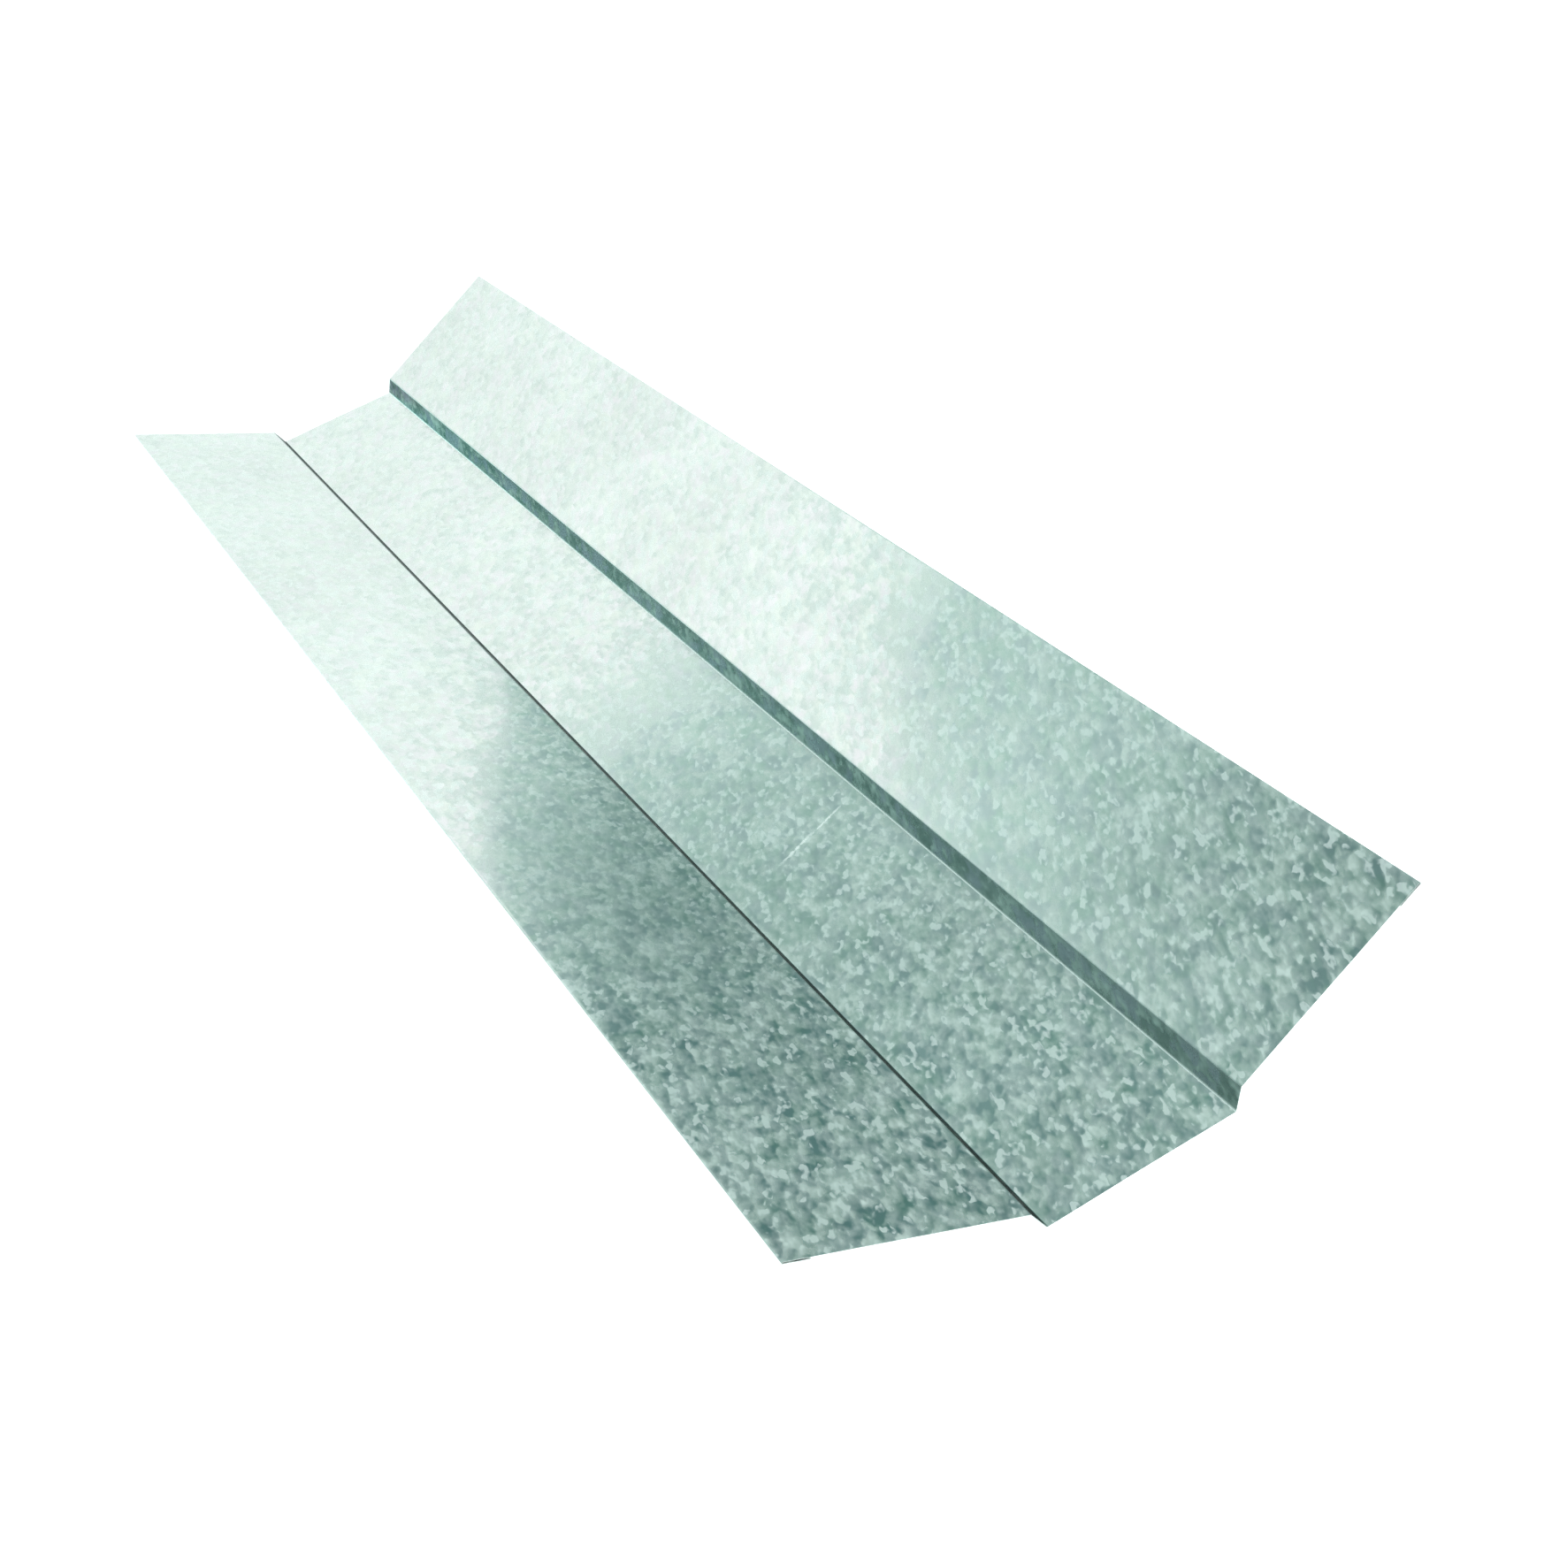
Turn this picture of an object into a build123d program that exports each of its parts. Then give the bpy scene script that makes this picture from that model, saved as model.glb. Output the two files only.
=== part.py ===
"""Galvanised valley flashing: one strip of sheet steel, folded on a brake.

A flat pan carries the water, a short riser on each side keeps it in, and a
wide wing lies up each roof slope, with its outer edge hemmed under.

Millimetres. +Y runs along the valley, +X across it and +Z up. The origin is on
the underside of the pan, in the middle of the length and of the width.
"""

import os
from math import cos, radians, sin

from build123d import *

# Stock
LENGTH = 2000.0  # the length that such flashing is sold in
SHEET = 0.5  # thickness of the galvanised sheet
BEND_RADIUS = 1.0  # inside radius that the brake leaves at each fold

# Section, measured on the face that carries the water, from fold to fold
PAN_WIDTH = 160.0
RISER = 20.0
RISER_ANGLE = 65.0  # slope of a riser above the pan, in degrees
WING = 190.0  # from the top of the riser to the outside of the hem
WING_ANGLE = 25.0  # slope of a wing above the pan, in degrees

# Hem, the strip of each outer edge that is folded back under the wing
HEM = 22.0  # from the outside of the turn to the cut edge
HEM_GAP = 1.0  # air left between the wing and its hem
HEM_TURN = HEM_GAP / 2 + SHEET  # outside radius of the half turn


def along_slope(start, run, slope):
    """The point that lies run millimetres up a slope from start."""
    return start + Vector(run * cos(radians(slope)), run * sin(radians(slope)))


# Fold points of the right half
pan_middle = Vector(0, SHEET)
riser_foot = Vector(PAN_WIDTH / 2, SHEET)
riser_head = along_slope(riser_foot, RISER, RISER_ANGLE)
hem_start = along_slope(riser_head, WING - HEM_TURN, WING_ANGLE)

with BuildPart() as valley_sheet:
    with BuildSketch(Plane.XZ):
        with BuildLine():
            # The bend at the foot is inside the valley and the one at the head is outside it,
            # so the water face has the inner radius at the first and the outer at the second.
            panels = FilletPolyline(
                pan_middle,
                riser_foot,
                riser_head,
                hem_start,
                radius=[BEND_RADIUS, BEND_RADIUS + SHEET],
            )
            hem_turn = JernArc(panels @ 1, panels % 1, radius=HEM_TURN, arc_size=-180)
            Line(hem_turn @ 1, hem_turn @ 1 + (hem_turn % 1) * (HEM - HEM_TURN))
            offset(amount=SHEET, side=Side.RIGHT)
        make_face()
        mirror(about=Plane.YZ)
    extrude(amount=LENGTH / 2, both=True)
valley_sheet.part.label = "valley_sheet"

os.makedirs("parts", exist_ok=True)
export_step(valley_sheet.part, "parts/valley_sheet.step")
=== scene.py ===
# %% [markdown]
# # Valley flashing: one folded sheet of galvanised steel
#
# A valley flashing lines the inner corner where two roof slopes meet. It is one
# strip of zinc-coated sheet steel, folded on a brake: a flat pan carries the
# water, a short riser on each side keeps it in, and a wide wing lies up each
# slope, with its outer edge hemmed under. This lesson folds that sheet in mesh
# code, grows its zinc spangle with shader nodes, and lights it like a catalogue
# picture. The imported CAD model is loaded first, because it sets the size.

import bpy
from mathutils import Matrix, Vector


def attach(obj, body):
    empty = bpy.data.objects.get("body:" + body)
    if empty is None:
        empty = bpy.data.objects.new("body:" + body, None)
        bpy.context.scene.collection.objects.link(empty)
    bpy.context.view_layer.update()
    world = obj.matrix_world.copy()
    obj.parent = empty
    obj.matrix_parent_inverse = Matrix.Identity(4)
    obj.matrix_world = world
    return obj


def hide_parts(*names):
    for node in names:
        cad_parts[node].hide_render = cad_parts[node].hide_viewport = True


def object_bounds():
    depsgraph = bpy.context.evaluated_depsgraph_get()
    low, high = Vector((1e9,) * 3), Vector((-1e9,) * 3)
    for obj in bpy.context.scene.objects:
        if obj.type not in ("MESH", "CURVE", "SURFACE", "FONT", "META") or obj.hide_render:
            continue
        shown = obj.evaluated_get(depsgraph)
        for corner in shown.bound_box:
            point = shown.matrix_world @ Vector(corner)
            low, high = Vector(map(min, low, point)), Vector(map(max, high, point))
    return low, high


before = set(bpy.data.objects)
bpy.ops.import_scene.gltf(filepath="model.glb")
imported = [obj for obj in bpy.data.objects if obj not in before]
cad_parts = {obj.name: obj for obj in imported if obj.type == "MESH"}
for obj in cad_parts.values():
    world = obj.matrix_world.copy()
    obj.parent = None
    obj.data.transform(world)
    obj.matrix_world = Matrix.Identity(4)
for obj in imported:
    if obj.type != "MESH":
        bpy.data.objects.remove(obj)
cad_low, cad_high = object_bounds()
print("CAD box in metres:", tuple(cad_low), tuple(cad_high))

# %% [markdown]
# ## The section, as the brake operator makes it
#
# On the real flashing the section is made by a few folds in a flat blank. It
# could be modelled as a polyline with thickness added afterwards, but a walk
# along the sheet is closer to the work: go straight, turn by the fold's angle
# on its radius, go straight again. The walk also gives the distance on the flat
# blank at every step, and the zinc pattern needs that later, because the zinc
# froze on the sheet while it was still flat. Only the length and the wing's
# width come from the CAD box. The other sizes are the folder's own.

# %% Sizes of the folds, in metres
from math import cos, pi, radians, sin, tan

MM = 0.001
SHEET = 0.5 * MM
BEND_RADIUS = 1.0 * MM
PAN_WIDTH = 160 * MM
RISER = 20 * MM
RISER_SLOPE = radians(65)
WING_SLOPE = radians(25)
HEM = 22 * MM
HEM_TURN = 1.0 * MM

length = cad_high.y - cad_low.y
half_width = cad_high.x
riser_head_x = PAN_WIDTH / 2 + RISER * cos(RISER_SLOPE)
hem_overhang = HEM_TURN * (1 + sin(WING_SLOPE))
wing_run = (half_width - riser_head_x - hem_overhang) / cos(WING_SLOPE)
print(f"Wing from riser to hem turn: {wing_run / MM:.2f} mm, length {length / MM:.0f} mm")

# %% The folds in their order, from the middle of the pan outwards
def setback(radius, turn):
    """How far before the corner a bend starts, measured on the water face."""
    return radius * tan(abs(turn) / 2)


foot_turn = RISER_SLOPE
head_turn = WING_SLOPE - RISER_SLOPE
outer_radius = BEND_RADIUS + SHEET
foot_setback = setback(BEND_RADIUS, foot_turn)
head_setback = setback(outer_radius, head_turn)

# Each entry: a flat and its run, then the bend after it, how far it turns and its radius on the water face
folds = [
    ("pan", PAN_WIDTH / 2 - foot_setback, "foot bend", foot_turn, BEND_RADIUS),
    ("riser", RISER - foot_setback - head_setback, "head bend", head_turn, outer_radius),
    ("wing", wing_run - head_setback, "hem turn", -pi, HEM_TURN),
    ("hem", HEM - HEM_TURN, "cut edge", 0, 0),
]
print("Flats:", ", ".join(f"{name} {run / MM:.1f} mm" for name, run, *_ in folds))

# %% Where the stations on a flat lie
FLAT_STEP = 9 * MM
BESIDE_BEND = (1.2 * MM, 4 * MM)  # extra stations, so that a fold's rub mark can fade out beside it


def flat_stops(run):
    """Distances along a flat: close together beside its two folds, even between them."""
    near = [gap for gap in BESIDE_BEND if gap < run / 3]
    ends = near[-1]
    count = max(2, round((run - 2 * ends) / FLAT_STEP))
    middle = [ends + (run - 2 * ends) * step / count for step in range(count + 1)]
    return near[:-1] + middle + [run - gap for gap in reversed(near[:-1])] + [run]


print("Stops on the riser, in mm:", ", ".join(f"{stop / MM:.1f}" for stop in flat_stops(folds[1][1])))

# %% Walk along the sheet and note a station at every step
from types import SimpleNamespace

from mathutils import Vector

BEND_STEP = radians(7.5)
SHADE_STRIP = {"foot bend": 1.0, "riser": 1.0, "head bend": 0.5}  # how much painted shade darkens each part, for the dim room it mirrors


def walk_half_section():
    """Stations from the middle of the pan to the cut edge of the right-hand hem."""
    place = Vector((0, SHEET))
    heading = 0.0
    on_blank = 0.0
    stations = []

    def note(panel, share, rub_and_crease_shade):
        stations.append(SimpleNamespace(
            place=place.copy(),
            facing=Vector((-sin(heading), cos(heading))),
            blank=on_blank,
            panel=panel,
            share=share,
            rub_and_crease_shade=rub_and_crease_shade,
            shade_strip=SHADE_STRIP.get(panel, 0.0),
        ))

    note("pan", 0.0, 0.0)
    for panel, run, bend, turn, radius in folds:
        gone = 0.0
        for stop in flat_stops(run):
            step = stop - gone
            place += Vector((cos(heading), sin(heading))) * step
            on_blank += step
            gone = stop
            to_fold = run - gone if panel in ("pan", "hem") else min(gone, run - gone)
            note(panel, gone / run, max(0.0, 1 - to_fold / BESIDE_BEND[-1]) if turn else 0.0)
        steps = round(abs(turn) / BEND_STEP)
        for _ in range(steps):
            part = turn / steps
            chord = 2 * radius * sin(abs(part) / 2)
            place += Vector((cos(heading + part / 2), sin(heading + part / 2))) * chord
            heading += part
            on_blank += abs(part) * (radius + (SHEET if turn > 0 else -SHEET) / 2)
            note(bend, 0.0, 1.0)
    return stations


half = walk_half_section()
print(f"{len(half)} stations, blank {2 * half[-1].blank / MM:.1f} mm wide")

# %% [markdown]
# ## From half a section to the whole sheet
#
# The real section is the same on both sides, so the left half is the right
# half mirrored. The guillotine leaves the cut edges very slightly rounded. A
# bevel modifier could do that, but on a sheet this thin it is simpler to pull
# both skins in by a hair at the outermost station and row.

# %% Mirror the stations and round the cut edges
CUT_ROUND = 0.07 * MM


def mirrored(station):
    """The same station on the left half."""
    twin = SimpleNamespace(**vars(station))
    twin.place = Vector((-station.place.x, station.place.y))
    twin.facing = Vector((-station.facing.x, station.facing.y))
    twin.blank = -station.blank
    return twin


def short_of(station, before):
    """A station a hair before the last one, where the sheet still has its full thickness."""
    stop = SimpleNamespace(**vars(station))
    back = (before.place - station.place).normalized() * CUT_ROUND
    stop.place = station.place + back
    stop.blank = station.blank - CUT_ROUND
    return stop


half.insert(-1, short_of(half[-1], half[-2]))
stations = [mirrored(station) for station in reversed(half[1:])] + half
last = len(stations) - 1
print(f"{len(stations)} stations from hem to hem")

# %% [markdown]
# ## One painted highlight along a fold
#
# In the picture a pale line runs along the foot of the right riser. It is a
# highlight, painted into the zinc's colour on that one bend. The left riser is
# seen almost edge on, and shows only a dark line. A scratch in the material could
# draw the pale one too, but it follows the fold from end to end, so the bend's own
# stations carry it, and the painted shade of the riser stops where it starts.

# %% The painted highlight along the right riser's foot
for station in stations:
    # Painted highlight: the right foot bend gets a pale line where light would catch it, in place of
    # painted shade.
    station.burnished = 1.0 if station.panel == "foot bend" and station.blank > 0 else 0.0
    station.shade_strip *= 1 - station.burnished
print("Highlighted stations:", sum(station.burnished > 0 for station in stations))

# %% [markdown]
# ## Oil canning
#
# Thin sheet never stays quite flat between its folds: the pan and the wings bow
# by a few tenths of a millimetre, which sheet workers call oil canning. Nobody
# sees the shape itself, only how it bends reflections, so a bump map would do
# from one side. Here it is real geometry, so every view agrees. The pan may
# only bow upwards, because its underside lies on the deck.

# %% How far each flat bows
from mathutils import noise

BOW = {"pan": 0.7 * MM, "wing": 1.0 * MM}
WAVE_ACROSS = 230 * MM
WAVE_ALONG = 360 * MM
WAVE_PATTERN = 59.5  # picks one pattern out of the noise, as a seed does


def bow(station, y):
    """Height of the oil canning at a station and a place along the valley."""
    if station.panel not in BOW:
        return 0.0
    across = station.share if station.panel == "wing" else (1 + station.share) / 2
    held = sin(pi * across) ** 2
    wave = noise.noise(Vector((station.blank / WAVE_ACROSS, y / WAVE_ALONG, WAVE_PATTERN)))
    if station.panel == "pan":
        wave = (1 + wave) / 2
    return BOW[station.panel] * held * wave


middle_of_wing = max(half, key=lambda station: station.panel == "wing" and sin(pi * station.share))
print(f"Bow in the middle of the right wing: {bow(middle_of_wing, 0.0) / MM:.2f} mm")

# %% Rows along the valley
ROW_STEP = 20 * MM

row_count = round(length / ROW_STEP)
inner = length / 2 - CUT_ROUND
rows = [-length / 2] + [-inner + 2 * inner * row / row_count for row in range(row_count + 1)] + [length / 2]
print(f"{len(rows)} rows, {len(rows) * len(stations) * 2} vertices")

# %% [markdown]
# ## Skin the sheet
#
# A Solidify modifier is the usual way to give a sheet its thickness. Writing
# both skins by hand takes no more code here, and it keeps three things exact:
# the hem's gap, the bend radii on both faces, and which faces are cut steel.
# Each vertex also stores its place on the flat blank, for the zinc pattern, and
# three numbers for the material: how near a fold it lies, for rub marks and
# painted crease shade; how much painted shade darkens it; and where a painted
# highlight lies.

# %% Build both skins and the four cut edges
import bmesh
import bpy

WATER_FACE, UNDER_FACE, CUT_EDGE = range(3)

sheet = bmesh.new()
blank_layer = sheet.verts.layers.float_vector.new("place_on_blank")
rub_and_crease_shade_layer = sheet.verts.layers.float.new("fold_rub_and_crease_shade")
shade_strip_layer = sheet.verts.layers.float.new("painted_shade_strip")
burnished_layer = sheet.verts.layers.float.new("burnished_line")
spots = {}
for row, y in enumerate(rows):
    for index, station in enumerate(stations):
        at_cut = row in (0, len(rows) - 1) or index in (0, last)
        pulled_in = CUT_ROUND if at_cut else 0.0
        lift = bow(station, y)
        for side, depth in ((WATER_FACE, pulled_in), (UNDER_FACE, SHEET - pulled_in)):
            spot = station.place + station.facing * (lift - depth)
            vert = sheet.verts.new((spot.x, y, spot.y))
            vert[blank_layer] = (station.blank, y, side)
            vert[rub_and_crease_shade_layer] = station.rub_and_crease_shade
            vert[shade_strip_layer] = station.shade_strip
            vert[burnished_layer] = station.burnished
            spots[side, row, index] = vert
print(f"{len(sheet.verts)} vertices placed")

# %% Join them into faces
def skin(corners, material):
    """One face through four (side, row, station) corners, with its material."""
    face = sheet.faces.new([spots[corner] for corner in corners])
    face.material_index = material
    face.smooth = True


def close_edge(first, second, step):
    """A face across the sheet's thickness, between two (row, station) places on a cut edge."""
    edge = [(WATER_FACE, *first), (WATER_FACE, *second), (UNDER_FACE, *second), (UNDER_FACE, *first)]
    skin(edge[::step], CUT_EDGE)


for row in range(len(rows) - 1):
    for index in range(last):
        quad = [(row, index), (row, index + 1), (row + 1, index + 1), (row + 1, index)]
        skin([(WATER_FACE, *corner) for corner in quad], WATER_FACE)
        skin([(UNDER_FACE, *corner) for corner in reversed(quad)], UNDER_FACE)
    for index, step in ((0, 1), (last, -1)):
        close_edge((row, index), (row + 1, index), step)
for index in range(last):
    for row, step in ((0, -1), (len(rows) - 1, 1)):
        close_edge((row, index), (row, index + 1), step)
print(f"{len(sheet.faces)} faces, closed: {all(edge.is_manifold for edge in sheet.edges)}")

# %% [markdown]
# ## A flat layout of the blank
#
# A painted or baked texture needs each face to have its own place in a square.
# Unwrapping by seams would scatter the long panels. The walk already knows the
# flat blank, so its two faces simply lie side by side, with the thin cut edges
# beside them, drawn far wider than they are so that they still get pixels.

# %% Lay the faces out
FACE_COLUMNS = {WATER_FACE: (0.01, 0.55), UNDER_FACE: (0.57, 0.94)}
END_COLUMN = (0.955, 0.967)
LEFT_EDGE_COLUMN = (0.975, 0.982)
RIGHT_EDGE_COLUMN = (0.988, 0.995)
WHOLE_HEIGHT = (0.005, 0.995)
NEAR_HALF = (0.01, 0.49)
FAR_HALF = (0.51, 0.99)

layout = sheet.loops.layers.uv.new("OFBake")
half_blank = stations[-1].blank


def part_way(span, share):
    """The place that lies a share of the way along a span."""
    start, end = span
    return start + (end - start) * share


def at_end(vert):
    """Whether a vertex lies on the near or the far cut end."""
    return length / 2 - abs(vert[blank_layer].y) < CUT_ROUND / 2


def on_layout(face, vert):
    """A corner's place in the square: wide columns for the two faces, narrow ones for the cut edges."""
    across, along, side = vert[blank_layer]
    across_share = (across / half_blank + 1) / 2
    along_share = along / length + 0.5
    if face.material_index != CUT_EDGE:
        column = FACE_COLUMNS[face.material_index]
        return part_way(column, across_share), part_way(WHOLE_HEIGHT, along_share)
    if all(at_end(corner) for corner in face.verts):
        return part_way(END_COLUMN, side), part_way(NEAR_HALF if along < 0 else FAR_HALF, across_share)
    column = LEFT_EDGE_COLUMN if across < 0 else RIGHT_EDGE_COLUMN
    return part_way(column, side), part_way(WHOLE_HEIGHT, along_share)


for face in sheet.faces:
    for corner in face.loops:
        corner[layout].uv = on_layout(face, corner.vert)
print("Laid out", len(sheet.faces), "faces in a square")

# %% Turn it into an object
mesh = bpy.data.meshes.new("valley_sheet_skin")
sheet.to_mesh(mesh)
sheet.free()
mesh.set_sharp_from_angle(angle=radians(30))
flashing = bpy.data.objects.new("galvanised_sheet", mesh)
bpy.context.scene.collection.objects.link(flashing)
print(f"{flashing.name}: {sum(len(face.vertices) - 2 for face in mesh.polygons)} triangles")

# %% Hand the sheet to the frame
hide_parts("valley_sheet")
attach(flashing, "root")
print(f"{flashing.name} takes the place of valley_sheet")

# %% [markdown]
# ## A short way to write shader nodes
#
# Node trees are easier to read in code when each node takes one line. These
# helpers make a node, set its plain values and wire what is given as a socket.

# %% Node helpers
def node(tree, kind, values=(), **settings):
    """Adds a node. Values fill its inputs, by name or number, with numbers or other nodes' sockets."""
    made = tree.nodes.new(kind)
    for name, setting in settings.items():
        setattr(made, name, setting)
    for name, value in dict(values).items():
        if isinstance(value, bpy.types.NodeSocket):
            tree.links.new(value, made.inputs[name])
        else:
            made.inputs[name].default_value = value
    return made


def calc(tree, operation, *values):
    """A Math node's result."""
    return node(tree, "ShaderNodeMath", enumerate(values), operation=operation).outputs[0]


def vector(tree, operation, *values, out=0):
    """A Vector Math node's result."""
    return node(tree, "ShaderNodeVectorMath", enumerate(values), operation=operation).outputs[out]


def scaled(tree, value, by):
    """A vector times a number."""
    return node(tree, "ShaderNodeVectorMath", {"Vector": value, "Scale": by}, operation="SCALE").outputs[0]


def between(tree, value, low, high, to_low=0.0, to_high=1.0, ends="SMOOTHSTEP"):
    """Moves a value from one range to another, with soft ends."""
    numbers = {"Value": value, "From Min": low, "From Max": high, "To Min": to_low, "To Max": to_high}
    return node(tree, "ShaderNodeMapRange", numbers, interpolation_type=ends).outputs["Result"]


def blended(tree, factor, low, high, how="MIX"):
    """A Mix node for colours."""
    made = tree.nodes.new("ShaderNodeMix")
    made.data_type = "RGBA"
    made.blend_type = how
    colours = [socket for socket in made.inputs if socket.type == "RGBA"]
    for socket, value in ((made.inputs[0], factor), (colours[0], low), (colours[1], high)):
        if isinstance(value, bpy.types.NodeSocket):
            tree.links.new(value, socket)
        else:
            socket.default_value = value
    return next(socket for socket in made.outputs if socket.type == "RGBA")


def new_group(name, inputs, outputs):
    """An empty node group with named sockets, given as (name, kind, default) and (name, kind)."""
    tree = bpy.data.node_groups.new(name, "ShaderNodeTree")
    for label, kind, default in inputs:
        socket = tree.interface.new_socket(label, in_out="INPUT", socket_type="NodeSocket" + kind)
        if default is not None:
            socket.default_value = default
    for label, kind in outputs:
        tree.interface.new_socket(label, in_out="OUTPUT", socket_type="NodeSocket" + kind)
    return tree, tree.nodes.new("NodeGroupInput").outputs, tree.nodes.new("NodeGroupOutput").inputs


def use_group(tree, group, values):
    """Places a group in a material and returns its outputs."""
    made = tree.nodes.new("ShaderNodeGroup")
    made.node_tree = group
    for name, value in values.items():
        if isinstance(value, bpy.types.NodeSocket):
            tree.links.new(value, made.inputs[name])
        else:
            made.inputs[name].default_value = value
    return made.outputs


# %% [markdown]
# ## Spangle
#
# Hot-dip zinc freezes in flat crystals, the spangle. Some crystals freeze smooth
# and mirror the room. Others freeze frosted and scatter light, so they stay pale
# where the smooth ones mirror something dark. That is why the same sheet looks
# even under a bright card and mottled beside it. A noise texture alone gives
# clouds without crystals, and plain Voronoi cells have edges that are too hard.
# Here two soft Voronoi layers, large crystals and the small ones between them,
# are added up with noise, and the sum decides how frosted each place is. The
# flecks look about as long as wide in the picture, although the camera sees the
# sheet at a low angle. So on the flat blank they are drawn out lengthwise, a
# little askew.

# %% The spangle group: its sockets
spangle, given, result = new_group(
    "Zinc spangle",
    [
        ("Place", "Vector", None),
        ("Grain Size", "Float", 0.0113),
        ("Patch Size", "Float", 0.05),
        ("Raggedness", "Float", 0.6),
        ("Frosted Share", "Float", 0.5),
    ],
    [
        ("Frost", "Float"),
        ("Specks", "Float"),
        ("Tone", "Float"),
        ("Hue", "Float"),
        ("Tilt", "Vector"),
    ],
)
print("The spangle group puts out", ", ".join(name for name in result.keys() if name))

# %% Where on the sheet, counted in crystals, with ragged borders
DRAWN_AT = radians(18)
DRAWN_OUT = (1.0, 0.56, 1.0)


def flat_noise(where, scale, detail):
    """Noise in the sheet's own plane."""
    values = {"Vector": where, "Scale": scale, "Detail": detail}
    return node(spangle, "ShaderNodeTexNoise", values, noise_dimensions="2D")


along_draw = {"Vector": given["Place"], "Angle": DRAWN_AT}
turned = node(spangle, "ShaderNodeVectorRotate", along_draw, rotation_type="Z_AXIS").outputs[0]
drawn = vector(spangle, "MULTIPLY", turned, DRAWN_OUT)
grains = scaled(spangle, drawn, calc(spangle, "DIVIDE", 1.0, given["Grain Size"]))
wobble = flat_noise(grains, 1.8, 1.0)
ragged = vector(spangle, "SUBTRACT", wobble.outputs["Color"], (0.5, 0.5, 0.5))
ragged = vector(spangle, "ADD", grains, scaled(spangle, ragged, given["Raggedness"]))
print("Crystals are drawn out", round(1 / DRAWN_OUT[1], 2), "times")

# %% Two layers of crystals, and patches where more of them froze frosted
def crystals(scale, softness):
    """A layer of soft-edged crystals; its colour holds three chances that each crystal keeps."""
    values = {"Vector": ragged, "Scale": scale, "Smoothness": softness}
    layer = node(spangle, "ShaderNodeTexVoronoi", values, feature="SMOOTH_F1", voronoi_dimensions="2D")
    return layer.outputs["Color"]


large = crystals(1.0, 1.0)
small = crystals(2.0, 0.9)
large_chance = node(spangle, "ShaderNodeSeparateColor", {"Color": large}).outputs
small_chance = node(spangle, "ShaderNodeSeparateColor", {"Color": small}).outputs
patch_place = scaled(spangle, given["Place"], calc(spangle, "DIVIDE", 1.0, given["Patch Size"]))
patch = flat_noise(patch_place, 1.0, 1.0)
print("Grain size:", round(spangle.interface.items_tree["Grain Size"].default_value / MM, 1), "mm")

# %% Frost: how rough each crystal froze
frost = calc(spangle, "MULTIPLY_ADD", large_chance["Red"], 0.4, given["Frosted Share"])
frost = calc(spangle, "MULTIPLY_ADD", small_chance["Red"], 0.45, frost)
frost = calc(spangle, "MULTIPLY_ADD", wobble.outputs[0], 0.7, frost)
frost = calc(spangle, "MULTIPLY_ADD", patch.outputs[0], 0.3, frost)
spangle.links.new(between(spangle, frost, 1.05, 1.88, ends="LINEAR"), result["Frost"])
spangle.links.new(small_chance["Green"], result["Tone"])

# %% Hue: crystals lean to green or violet, a few neighbours together, and frosted ones more to green
hue = flat_noise(grains, 0.5, 2.0)
hue = calc(spangle, "MULTIPLY_ADD", large_chance["Blue"], 0.45, hue.outputs[0])
hue = calc(spangle, "MULTIPLY_ADD", small_chance["Red"], -0.45, hue)
spangle.links.new(between(spangle, hue, 0.2, 0.8), result["Hue"])

# %% Specks: here and there a crystal froze almost white
white_chance = calc(spangle, "MULTIPLY", wobble.outputs[0], 0.8)
white_chance = calc(spangle, "MULTIPLY_ADD", small_chance["Blue"], 0.7, white_chance)
spangle.links.new(between(spangle, white_chance, 0.78, 1.08), result["Specks"])

# %% Tilt: which way each large crystal leans
lean = vector(spangle, "SUBTRACT", large, (0.5, 0.5, 0.5))
spangle.links.new(lean, result["Tilt"])
print("Zinc spangle:", len(spangle.nodes), "nodes")

# %% [markdown]
# ## Crystals lean a little
#
# A crystal's face is not quite in line with the sheet, so neighbours mirror
# slightly different parts of the room. A bump map only shapes the borders
# between crystals. Adding a small vector to the normal leans the whole crystal,
# which is what makes spangle glitter as one walks past.

# %% The lean group
lean_group, given, result = new_group(
    "Crystal lean",
    [("Tilt", "Vector", None), ("Amount", "Float", 0.03)],
    [("Normal", "Vector")],
)
straight_up = node(lean_group, "ShaderNodeNewGeometry").outputs["Normal"]
leaning = vector(lean_group, "ADD", straight_up, scaled(lean_group, given["Tilt"], given["Amount"]))
lean_group.links.new(vector(lean_group, "NORMALIZE", leaning), result["Normal"])
print("Crystal lean:", len(lean_group.nodes), "nodes")

# %% [markdown]
# ## Handling marks
#
# Sheets rub on each other in the stack and are dragged over the brake's table.
# That leaves faint clouds all over and a few bright scratches. The clouds are
# noise at several scales. A scratch could be painted, but a formula is sharper:
# the distance from a point to a line, which one small group works out for each
# scratch. Part of the left wing also looks duller and more even than the rest,
# as if gloves had wiped a film over it. The film needs no pattern of its own: a
# soft oval on the blank says how far each crystal's frost moves to the film's.

# %% The clouds group
clouds_group, given, result = new_group(
    "Handling clouds",
    [("Place", "Vector", None), ("Cloud Size", "Float", 0.25)],
    [("Clouds", "Float")],
)
cloud_place = scaled(clouds_group, given["Place"], calc(clouds_group, "DIVIDE", 1.0, given["Cloud Size"]))
cloud_noise = {"Vector": cloud_place, "Scale": 1.0, "Detail": 5.0, "Roughness": 0.55}
clouds = node(clouds_group, "ShaderNodeTexNoise", cloud_noise).outputs[0]
clouds_group.links.new(between(clouds_group, clouds, 0.3, 0.7), result["Clouds"])
print("Handling clouds:", len(clouds_group.nodes), "nodes")

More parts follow.
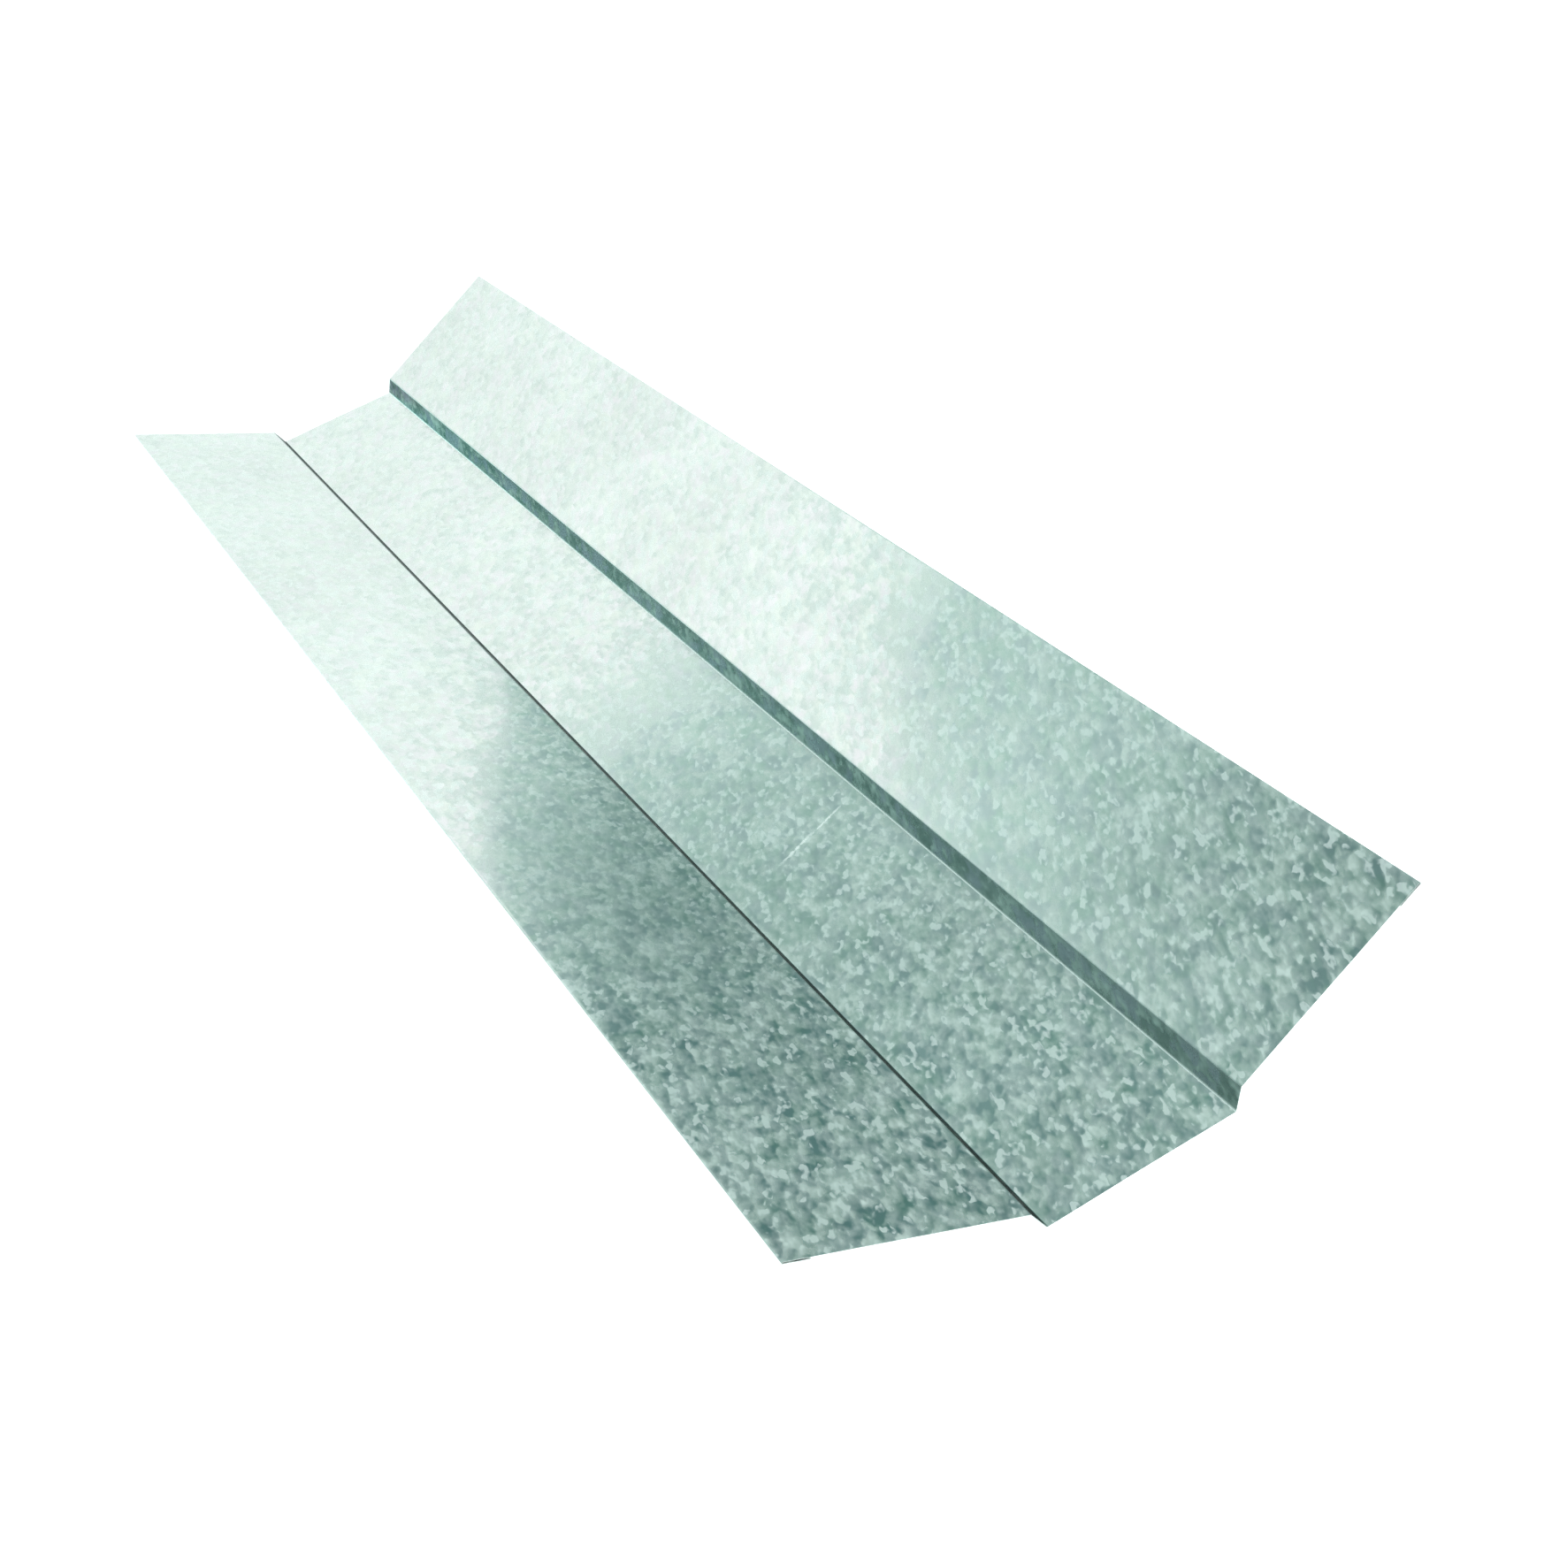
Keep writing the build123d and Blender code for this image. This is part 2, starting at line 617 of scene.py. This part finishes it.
# %% The scratch group
scratch_group, given, result = new_group(
    "Scratch",
    [
        ("Place", "Vector", None),
        ("Start", "Vector", None),
        ("End", "Vector", None),
        ("Width", "Float", 0.0008),
    ],
    [("Mask", "Float")],
)
along = vector(scratch_group, "SUBTRACT", given["End"], given["Start"])
from_start = vector(scratch_group, "SUBTRACT", given["Place"], given["Start"])
dot = vector(scratch_group, "DOT_PRODUCT", from_start, along, out="Value")
square = vector(scratch_group, "DOT_PRODUCT", along, along, out="Value")
along_line = node(scratch_group, "ShaderNodeMath", {0: dot, 1: square}, operation="DIVIDE", use_clamp=True)
share = along_line.outputs[0]
off_line = vector(scratch_group, "SUBTRACT", from_start, scaled(scratch_group, along, share))
distance = vector(scratch_group, "LENGTH", off_line, out="Value")
fade = calc(scratch_group, "SINE", calc(scratch_group, "MULTIPLY", share, pi))
grit = node(scratch_group, "ShaderNodeTexNoise", {"Vector": given["Place"], "Scale": 160.0, "Detail": 2.0})
frayed = between(scratch_group, grit.outputs[0], 0.3, 0.7, 0.2, 1.4)
frayed = calc(scratch_group, "MULTIPLY", given["Width"], frayed)
near_line = between(scratch_group, calc(scratch_group, "DIVIDE", distance, frayed), 0.2, 1.0, 0.85, 0.0)
worn_away = between(scratch_group, grit.outputs[0], 0.25, 0.5)
mark = calc(scratch_group, "MULTIPLY", near_line, calc(scratch_group, "MULTIPLY", fade, worn_away))
scratch_group.links.new(mark, result["Mask"])
print("Scratch:", len(scratch_group.nodes), "nodes")

# %% The film group
film_group, given, result = new_group(
    "Dull film",
    [
        ("Place", "Vector", None),
        ("Middle", "Vector", None),
        ("Half Size", "Vector", None),
        ("Strength", "Float", 0.34),
    ],
    [("Mask", "Float")],
)
from_middle = vector(film_group, "SUBTRACT", given["Place"], given["Middle"])
in_half_sizes = vector(film_group, "DIVIDE", from_middle, given["Half Size"])
off_middle = vector(film_group, "LENGTH", in_half_sizes, out="Value")
mask = between(film_group, off_middle, 0.3, 1.0, given["Strength"], 0.0)
film_group.links.new(mask, result["Mask"])
print("Dull film:", len(film_group.nodes), "nodes")

# %% [markdown]
# ## The zinc faces
#
# The face that carries the water and the underside are the same coating, so
# they share a recipe and differ only in values. The underside isn't in the
# picture. It is taken to be duller, as a face is that slides over the brake's
# table. Smooth crystals are plain metal, and mirror the room almost sharply.
# Frosted ones are lighter and rougher. They also scatter light like chalk, which
# a metal shader can't do, so they are only half metallic. The risers and the
# bends beside them carry painted shade: a darker colour with soft blotches,
# darkest along the folds, and a black edge colour, for the dim room they mirror.
# The pale line along the right riser's foot is a painted highlight. A scratch has
# lost its shine, so it shows as a pale line wherever it is seen from.

# %% The colour of the crystals
SMOOTH_GREENISH = (0.68, 0.74, 0.685, 1)
SMOOTH_VIOLET = (0.71, 0.71, 0.725, 1)
FROSTED_ZINC = (0.71, 0.775, 0.74, 1)
# BRIGHT_ZINC also colours the painted highlight along the right riser's foot.
BRIGHT_ZINC = (0.86, 0.92, 0.90, 1)
SPECK_WHITENESS = 0.5


def crystal_colour(tree, zinc, cloudy):
    """Smooth crystals lean to green or violet, frosted ones are lighter, and specks are almost white."""
    smooth = blended(tree, zinc["Hue"], SMOOTH_GREENISH, SMOOTH_VIOLET)
    colour = blended(tree, zinc["Frost"], smooth, FROSTED_ZINC)
    tone = between(tree, zinc["Tone"], 0.0, 1.0, 0.96, 1.03)
    tone = calc(tree, "MULTIPLY", tone, between(tree, cloudy, 0.0, 1.0, 0.95, 1.03))
    grey = node(tree, "ShaderNodeCombineColor", {"Red": tone, "Green": tone, "Blue": tone}).outputs[0]
    colour = blended(tree, 1.0, colour, grey, "MULTIPLY")
    return blended(tree, calc(tree, "MULTIPLY", zinc["Specks"], SPECK_WHITENESS), colour, BRIGHT_ZINC)


# %% The painted shade on the risers and their bends
SHADE_STRIP_DARK = (0.30, 0.40, 0.38, 1)
SHADE_STRIP_LIGHT = (0.80, 0.92, 0.88, 1)
SHADE_STRIP_VIOLET = (0.55, 0.60, 0.70, 1)
SHADE_STRIP_COVER = 0.9  # how much of the crystals' own colour the strip hides


def with_painted_shade_strip(tree, colour, shade_strip, zinc, rub_and_crease_shade):
    """The crystals' colour, under painted shade on the risers and their bends, blotched by the spangle and
    darkest along the folds.
    """
    strip = blended(tree, between(tree, zinc["Frost"], 0.1, 1.1), SHADE_STRIP_DARK, SHADE_STRIP_LIGHT)
    strip = blended(tree, between(tree, zinc["Hue"], 0.3, 1.0, 0.0, 0.6), strip, SHADE_STRIP_VIOLET)
    # Painted crease shade: the strip darkens further towards the folds.
    strip = blended(tree, calc(tree, "MULTIPLY", rub_and_crease_shade, 0.5), strip, SHADE_STRIP_DARK)
    return blended(tree, calc(tree, "MULTIPLY", shade_strip, SHADE_STRIP_COVER), colour, strip)


# %% The recipe for a zinc face
EDGE_ON_ZINC = (0.80, 0.86, 0.84, 1)
EDGE_ON_SHADE_STRIP = (0.0, 0.0, 0.0, 1)  # painted shade: a black edge colour keeps the shaded strip dark seen along its face
SPECK_MATT = 0.85
FOLD_RUB = 0.15
MARK_ROUGHNESS = 0.12
SHADE_STRIP_ROUGHNESS = 0.12
SCRATCH_SCATTER = 0.4  # the share of its metal look that a scratch has lost
FILM_FROST = 0.42  # the film makes all crystals look about this frosted


def zinc_face(name, smooth_rough, frosted_rough, frosted_metal, lean_amount, scratches=(), films=()):
    """A galvanised face with spangle, clouds, scratches, films, rubbed folds, painted shade on the risers
    and a painted highlight along one fold.
    """
    material = bpy.data.materials.new(name)
    material.use_nodes = True
    tree = material.node_tree
    shader = tree.nodes["Principled BSDF"]
    place = node(tree, "ShaderNodeAttribute", attribute_name="place_on_blank").outputs["Vector"]
    rub_and_crease_shade = node(tree, "ShaderNodeAttribute", attribute_name="fold_rub_and_crease_shade").outputs["Fac"]
    shade_strip = node(tree, "ShaderNodeAttribute", attribute_name="painted_shade_strip").outputs["Fac"]
    burnished = node(tree, "ShaderNodeAttribute", attribute_name="burnished_line").outputs["Fac"]
    zinc = dict(use_group(tree, spangle, {"Place": place}).items())
    cloudy = use_group(tree, clouds_group, {"Place": place})["Clouds"]
    for middle, half_size, strength in films:
        oval = {"Place": place, "Middle": middle, "Half Size": half_size, "Strength": strength}
        film = use_group(tree, film_group, oval)["Mask"]
        evened = node(tree, "ShaderNodeMix", {"Factor": film, "A": zinc["Frost"], "B": FILM_FROST})
        zinc["Frost"] = evened.outputs[0]
        zinc["Specks"] = calc(tree, "MULTIPLY", zinc["Specks"], calc(tree, "SUBTRACT", 1.0, film))

    marks_and_highlight = calc(tree, "MULTIPLY", rub_and_crease_shade, FOLD_RUB)
    for start, end, width in scratches:
        line = {"Place": place, "Start": start, "End": end, "Width": width}
        marks_and_highlight = calc(tree, "MAXIMUM", marks_and_highlight, use_group(tree, scratch_group, line)["Mask"])
    scratched = marks_and_highlight
    # Painted highlight: the pale line along the right riser's foot joins the marks.
    marks_and_highlight = calc(tree, "MAXIMUM", marks_and_highlight, burnished)

    colour = with_painted_shade_strip(tree, crystal_colour(tree, zinc, cloudy), shade_strip, zinc, rub_and_crease_shade)
    # Painted shade and painted highlight: the base colour darkens the risers and brightens the right
    # riser's foot, and the edge colour keeps the shaded strip dark.
    tree.links.new(blended(tree, marks_and_highlight, colour, BRIGHT_ZINC), shader.inputs["Base Color"])
    tree.links.new(blended(tree, shade_strip, EDGE_ON_ZINC, EDGE_ON_SHADE_STRIP), shader.inputs["Specular Tint"])

    rough = between(tree, zinc["Frost"], 0.0, 1.0, smooth_rough, frosted_rough)
    rough = calc(tree, "ADD", rough, between(tree, cloudy, 0.0, 1.0, -0.02, 0.03))
    rough = calc(tree, "MULTIPLY_ADD", marks_and_highlight, MARK_ROUGHNESS, rough)
    rough = calc(tree, "MULTIPLY_ADD", shade_strip, SHADE_STRIP_ROUGHNESS, rough)
    tree.links.new(rough, shader.inputs["Roughness"])

    normal = use_group(tree, lean_group, {"Tilt": zinc["Tilt"], "Amount": lean_amount})["Normal"]
    bump = node(tree, "ShaderNodeBump", {"Height": zinc["Frost"], "Normal": normal, "Distance": 0.00001})
    tree.links.new(bump.outputs[0], shader.inputs["Normal"])

    matt = calc(tree, "MAXIMUM", marks_and_highlight, calc(tree, "MULTIPLY", zinc["Specks"], SPECK_MATT))
    matt = calc(tree, "MAXIMUM", zinc["Frost"], matt)
    matt = calc(tree, "MULTIPLY", matt, between(tree, shade_strip, 0.0, 1.0, 1.0, 0.0))
    metal = between(tree, matt, 0.0, 1.0, 1.0, frosted_metal, ends="LINEAR")
    metal = calc(tree, "MULTIPLY_ADD", scratched, -SCRATCH_SCATTER, metal)
    tree.links.new(metal, shader.inputs["Metallic"])
    return material


# %% The two faces
# Places on the blank are (across, along, face), in metres.
WATER_SCRATCHES = [  # start, end and half width
    ((-0.030, -0.471, 0), (0.028, -0.444, 0), 0.0030),
    ((0.005, -0.456, 0), (0.066, -0.428, 0), 0.0020),
    ((0.185, 0.216, 0), (0.224, 0.184, 0), 0.0024),
    ((0.042, 0.252, 0), (0.070, 0.268, 0), 0.0018),
    ((0.201, -0.151, 0), (0.222, -0.159, 0), 0.0016),
]
WATER_FILMS = [((-0.19, -0.46, 0), (0.12, 0.30, 0.5), 0.34)]  # middle, half size and strength

water_zinc = zinc_face(
    "zinc_water_face",
    smooth_rough=0.085,
    frosted_rough=0.21,
    frosted_metal=0.5,
    lean_amount=0.006,
    scratches=WATER_SCRATCHES,
    films=WATER_FILMS,
)
under_zinc = zinc_face(
    "zinc_under_face",
    smooth_rough=0.28,
    frosted_rough=0.42,
    frosted_metal=0.55,
    lean_amount=0.02,
)
print("Water face:", len(water_zinc.node_tree.nodes), "nodes, underside:", len(under_zinc.node_tree.nodes))

# %% [markdown]
# ## Sheared steel
#
# The guillotine cuts through zinc and steel, so the cut edge is darker bare
# steel with fine lines across it, where the blade dragged. The zinc is smeared
# a little over the edge, which keeps it from rusting, so there is no rust.

# %% The cut edge
STEEL = (0.36, 0.40, 0.40, 1)
SMEARED_ZINC = (0.58, 0.66, 0.64, 1)
DRAG_LINES = (1400.0, 1400.0, 3.0)  # noise that changes fast along the edge and slowly through the sheet

sheared_steel = bpy.data.materials.new("sheared_steel")
sheared_steel.use_nodes = True
tree = sheared_steel.node_tree
shader = tree.nodes["Principled BSDF"]
place = node(tree, "ShaderNodeAttribute", attribute_name="place_on_blank").outputs["Vector"]
drag = vector(tree, "MULTIPLY", place, DRAG_LINES)
lines = node(tree, "ShaderNodeTexNoise", {"Vector": drag, "Scale": 1.0, "Detail": 3.0}).outputs[0]
cloudy = use_group(tree, clouds_group, {"Place": place, "Cloud Size": 0.04})["Clouds"]
smear = calc(tree, "MULTIPLY", between(tree, lines, 0.4, 0.65), cloudy)
tree.links.new(blended(tree, smear, STEEL, SMEARED_ZINC), shader.inputs["Base Color"])
tree.links.new(between(tree, lines, 0.3, 0.7, 0.36, 0.55), shader.inputs["Roughness"])
bump = node(tree, "ShaderNodeBump", {"Height": lines, "Distance": 0.00002})
tree.links.new(bump.outputs[0], shader.inputs["Normal"])
shader.inputs["Metallic"].default_value = 1.0

for material in (water_zinc, under_zinc, sheared_steel):
    mesh.materials.append(material)
print("Materials on the sheet:", [material.name for material in mesh.materials])

# %% [markdown]
# ## Floor
#
# The flashing lies on a plain pale studio floor. A huge flat plane is enough,
# since only the metal is of interest. Faint mottling keeps it from looking like
# empty paper where the sheet's soft shadow falls. Stronger lamps would make the
# floor whiter, and wash out the metal with it, so the floor glows a little.

# %% The floor
FLOOR_HALF = 30.0
FLOOR_BELOW = 0.05 * MM
FLOOR_PAINT = (0.90, 0.90, 0.90, 1)
PALER_PAINT = (0.93, 0.93, 0.93, 1)

corners = [(x * FLOOR_HALF, y * FLOOR_HALF, 0) for x, y in ((-1, -1), (1, -1), (1, 1), (-1, 1))]
floor_mesh = bpy.data.meshes.new("floor")
floor_mesh.from_pydata(corners, [], [(0, 1, 2, 3)])
floor = bpy.data.objects.new("studio_floor", floor_mesh)
bpy.context.scene.collection.objects.link(floor)
floor.location.z = cad_low.z - FLOOR_BELOW
print(f"Floor {2 * FLOOR_HALF:.0f} m wide, {FLOOR_BELOW / MM} mm under the pan")

# %% Floor paint
floor_paint = bpy.data.materials.new("floor_paint")
floor_paint.use_nodes = True
tree = floor_paint.node_tree
shader = tree.nodes["Principled BSDF"]
place = node(tree, "ShaderNodeTexCoord").outputs["Object"]
mottle = use_group(tree, clouds_group, {"Place": place, "Cloud Size": 0.6})["Clouds"]
tree.links.new(blended(tree, mottle, FLOOR_PAINT, PALER_PAINT), shader.inputs["Base Color"])
shader.inputs["Roughness"].default_value = 0.9
shader.inputs["Specular IOR Level"].default_value = 0.1
shader.inputs["Emission Color"].default_value = (1, 1, 1, 1)
shader.inputs["Emission Strength"].default_value = 0.7
floor_mesh.materials.append(floor_paint)
print("Floor paint:", len(tree.nodes), "nodes")

# %% [markdown]
# ## Light
#
# Metal shows what it mirrors, so the light is planned as a picture of the room.
# One long white card stands beyond the far end: the far half of the sheet
# mirrors it and glows. Above the card's top edge the room is dim, and the near
# half mirrors that, which brings out the spangle. Two small cards at the left
# are there for the right riser, which faces them. Another card behind the camera
# gives the back views something to mirror. Two lamps only light what scatters,
# and are hidden from reflections: a wide overhead one that keeps the floor
# white and the shadows soft, and one over the near end, for its frosted zinc.

# %% A card is a large area light
from mathutils import Quaternion

CARD_DISTANCE = 12.0


def direction(bearing, rise):
    """A unit vector. Bearing runs from +Y towards +X and rise up from the floor, in degrees."""
    level = cos(radians(rise))
    return Vector((sin(radians(bearing)) * level, cos(radians(bearing)) * level, sin(radians(rise))))


def white_card(name, bearing, rise, width, height, glow, roll=0.0, tint=(1, 1, 1)):
    """A lit card that faces the sheet, turned in its own plane by roll degrees."""
    lamp = bpy.data.lights.new(name, "AREA")
    lamp.color = tint
    lamp.shape = "RECTANGLE"
    lamp.size = width
    lamp.size_y = height
    lamp.energy = glow * pi * width * height
    card = bpy.data.objects.new(name, lamp)
    bpy.context.scene.collection.objects.link(card)
    out = direction(bearing, rise)
    card.location = out * CARD_DISTANCE
    card.rotation_mode = "QUATERNION"
    card.rotation_quaternion = (-out).to_track_quat("-Z", "Y") @ Quaternion((0, 0, 1), radians(roll))
    card.visible_camera = False
    return card


# %% The cards: bearing, rise, width, height, glow, roll and tint
far_card = white_card("far_card", 1.05, 18.2, 11.7, 6.0, 0.65, 16.5, (1.0, 0.714, 0.774))
low_card = white_card("low_card", -24, 7.5, 3.4, 2.8, 1.9, 0, (0.62, 1.0, 0.95))
side_card = white_card("side_card", -37, 22.5, 2.8, 3.0, 0.42, 0, (0.85, 1.0, 1.05))
near_card = white_card("near_card", 175, 16, 18, 6.0, 0.9)
print("Cards:", ", ".join(card.name for card in (far_card, low_card, side_card, near_card)))

# %% The two lamps that the metal doesn't mirror
NEAR_LAMP = Vector((0.55, -1.9, 1.2))
NEAR_LAMP_AIM = Vector((0.0, -0.9, 0.0))

near_lamp = bpy.data.objects.new("near_lamp", bpy.data.lights.new("near_lamp", "AREA"))
near_lamp.data.shape = "DISK"
near_lamp.data.size = 1.2
near_lamp.data.energy = 25
near_lamp.location = NEAR_LAMP
near_lamp.rotation_mode = "QUATERNION"
near_lamp.rotation_quaternion = (NEAR_LAMP_AIM - NEAR_LAMP).to_track_quat("-Z", "Y")
near_lamp.visible_camera = False
near_lamp.visible_glossy = False
bpy.context.scene.collection.objects.link(near_lamp)

overhead = bpy.data.objects.new("overhead", bpy.data.lights.new("overhead", "SUN"))
overhead.data.energy = 0.7
overhead.data.angle = radians(50)
overhead.visible_glossy = False
bpy.context.scene.collection.objects.link(overhead)
print("Lamps:", near_lamp.name, overhead.name)

# %% [markdown]
# ## The room around it
#
# A white card in a dim room still has a glow around it, where its light grazes
# the walls, and the room itself is darker in some places than in others. More
# cards could make this, but area lights let each other's light through, so
# where two overlap the metal shows a bright seam. The world's colour has no
# such seams. It is worked out from the direction alone: a soft round patch for
# each darker corner and for the ceiling, and a halo around the far card. The
# camera itself sees plain white, as in a cut-out catalogue picture.

# %% The dim room and its darker corners
ROOM = (0.208, 0.37, 0.345, 1)
PATCHES = [  # bearing and rise, how far the full colour reaches, where it has faded out, and the colour
    (0, 90, 5, 38, (0.50, 0.58, 0.56, 1)),
    (52, 24, 11, 27, (0.125, 0.262, 0.245, 1)),
    (-56, 30, 12, 20, (0.06, 0.14, 0.13, 1)),
    (-28, 54, 6, 19, (0.15, 0.29, 0.27, 1)),
]

world = bpy.data.worlds.new("studio")
world.use_nodes = True
bpy.context.scene.world = world
tree = world.node_tree
way = node(tree, "ShaderNodeTexCoord").outputs["Generated"]
dim = ROOM
for bearing, rise, full, faded, colour in PATCHES:
    toward = vector(tree, "DOT_PRODUCT", way, direction(bearing, rise), out="Value")
    dim = blended(tree, between(tree, toward, cos(radians(faded)), cos(radians(full))), dim, colour)
print(len(PATCHES), "soft patches in the room")

# %% The halo around the far card, measured on the card's own plane
HALO = (0.43, 0.51, 0.485, 1)
HALO_SIDEWAYS = 1.5  # metres from the card's edge to the halo's
HALO_UPWARDS = 3.5
FACING_CARD = 0.05  # directions that point less towards the card than this never meet its plane

card_axes = [far_card.rotation_quaternion @ Vector(axis) for axis in ((1, 0, 0), (0, 1, 0), (0, 0, 1))]
sideways, upwards, outwards = [vector(tree, "DOT_PRODUCT", way, axis, out="Value") for axis in card_axes]
outwards = calc(tree, "MAXIMUM", outwards, FACING_CARD)


def past_edge(axis_share, size, reach):
    """How far outside the card's edge a direction meets its plane: 0 inside, 1 where the halo ends."""
    from_middle = calc(tree, "ABSOLUTE", calc(tree, "DIVIDE", axis_share, outwards))
    outside = calc(tree, "MAXIMUM", calc(tree, "SUBTRACT", from_middle, size / 2 / CARD_DISTANCE), 0.0)
    return calc(tree, "MULTIPLY", outside, CARD_DISTANCE / reach)


past_sides = {
    "X": past_edge(sideways, far_card.data.size, HALO_SIDEWAYS),
    "Y": past_edge(upwards, far_card.data.size_y, HALO_UPWARDS),
}
past = vector(tree, "LENGTH", node(tree, "ShaderNodeCombineXYZ", past_sides).outputs[0], out="Value")
halo = between(tree, past, 0.0, 1.0, 1.0, 0.0, ends="LINEAR")
dim = blended(tree, calc(tree, "POWER", halo, 2.0), dim, HALO, "ADD")
print(f"The halo reaches {HALO_SIDEWAYS} m beside the card and {HALO_UPWARDS} m above it")

# %% The camera sees plain white instead
WHITE = (1, 1, 1, 1)

seen = node(tree, "ShaderNodeLightPath").outputs["Is Camera Ray"]
tree.links.new(blended(tree, seen, dim, WHITE), tree.nodes["Background"].inputs["Color"])
bpy.context.scene.view_settings.view_transform = "Standard"
print("World:", len(tree.nodes), "nodes")

# %% [markdown]
# ## Camera
#
# The picture was taken from beside the near end, looking down the valley, with
# the camera turned a little about its own axis. Guessing such a view takes long;
# solving it from the corners of the two ends gives the place, the aim and the
# lens at once. The last step prints where the corners fall, in the photo's frame
# of 1772 by 1773 pixels, to set beside where the photo has them.

# %% The camera
PHOTO_WIDTH, PHOTO_HEIGHT = 1772, 1773
FOCAL_PIXELS = 2632
SENSOR = 36.0
EYE = Vector((-0.474, -2.0995, 1.1437))
AIM = Vector((0.0359, -0.3562, 0.0005))
TURNED = radians(-19.44)

camera = bpy.data.objects.new("camera", bpy.data.cameras.new("camera"))
bpy.context.scene.collection.objects.link(camera)
camera.data.sensor_width = SENSOR
camera.data.lens = FOCAL_PIXELS * SENSOR / PHOTO_HEIGHT
camera.data.clip_end = 200
camera.location = EYE
camera.rotation_mode = "QUATERNION"
camera.rotation_quaternion = (AIM - EYE).to_track_quat("-Z", "Y") @ Quaternion((0, 0, 1), TURNED)
bpy.context.scene.camera = camera
bpy.context.view_layer.update()


def in_photo(point):
    """Where a point falls, in the photo's pixels."""
    seen = camera.matrix_world.inverted() @ Vector(point)
    across = PHOTO_WIDTH / 2 - FOCAL_PIXELS * seen.x / seen.z
    return round(across, 1), round(PHOTO_HEIGHT / 2 + FOCAL_PIXELS * seen.y / seen.z, 1)


for name, x in (("left", cad_low.x), ("right", cad_high.x)):
    for end, y in (("near", cad_low.y), ("far", cad_high.y)):
        print(f"{end} {name} corner at", in_photo((x, y, cad_high.z)))
